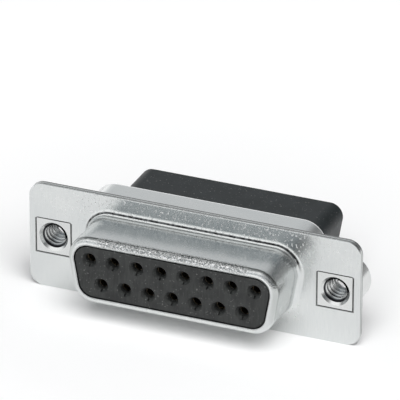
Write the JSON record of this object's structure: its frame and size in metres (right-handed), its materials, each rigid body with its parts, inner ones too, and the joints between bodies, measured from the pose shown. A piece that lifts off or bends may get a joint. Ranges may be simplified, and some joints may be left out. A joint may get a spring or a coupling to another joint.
{
  "type": "d-sub connector",
  "caption": "D-shaped socket connector with a drawn metal flange, black insulator, crimp contacts and threaded inserts.",
  "frame": {"origin": "centre of the flange's front face", "axes": "+X along the flange, +Z towards the wider row of the D, -Y is the mating direction, so +Y points to the wire side"},
  "size_m": [0.0392, 0.02, 0.0126],
  "materials": {
    "plated_sheet": "tin-plated, drawn, satin with fine specks",
    "insulator": "moulded black thermoplastic with glass fibre, satin",
    "contact_metal": "turned copper alloy, thinly plated",
    "insert_metal": "turned and plated steel"
  },
  "bodies": {
    "root": {"front_shell": "plated_sheet", "rear_shell": "plated_sheet", "front_insulator": "insulator", "rear_insulator": "insulator", "threaded_insert_left": "insert_metal", "threaded_insert_right": "insert_metal", "contact_01": "contact_metal", "contact_02": "contact_metal", "contact_03": "contact_metal", "contact_04": "contact_metal", "contact_05": "contact_metal", "contact_06": "contact_metal", "contact_07": "contact_metal", "contact_08": "contact_metal", "contact_09": "contact_metal", "contact_10": "contact_metal", "contact_11": "contact_metal", "contact_12": "contact_metal", "contact_13": "contact_metal", "contact_14": "contact_metal", "contact_15": "contact_metal"}
  },
  "joints": []
}
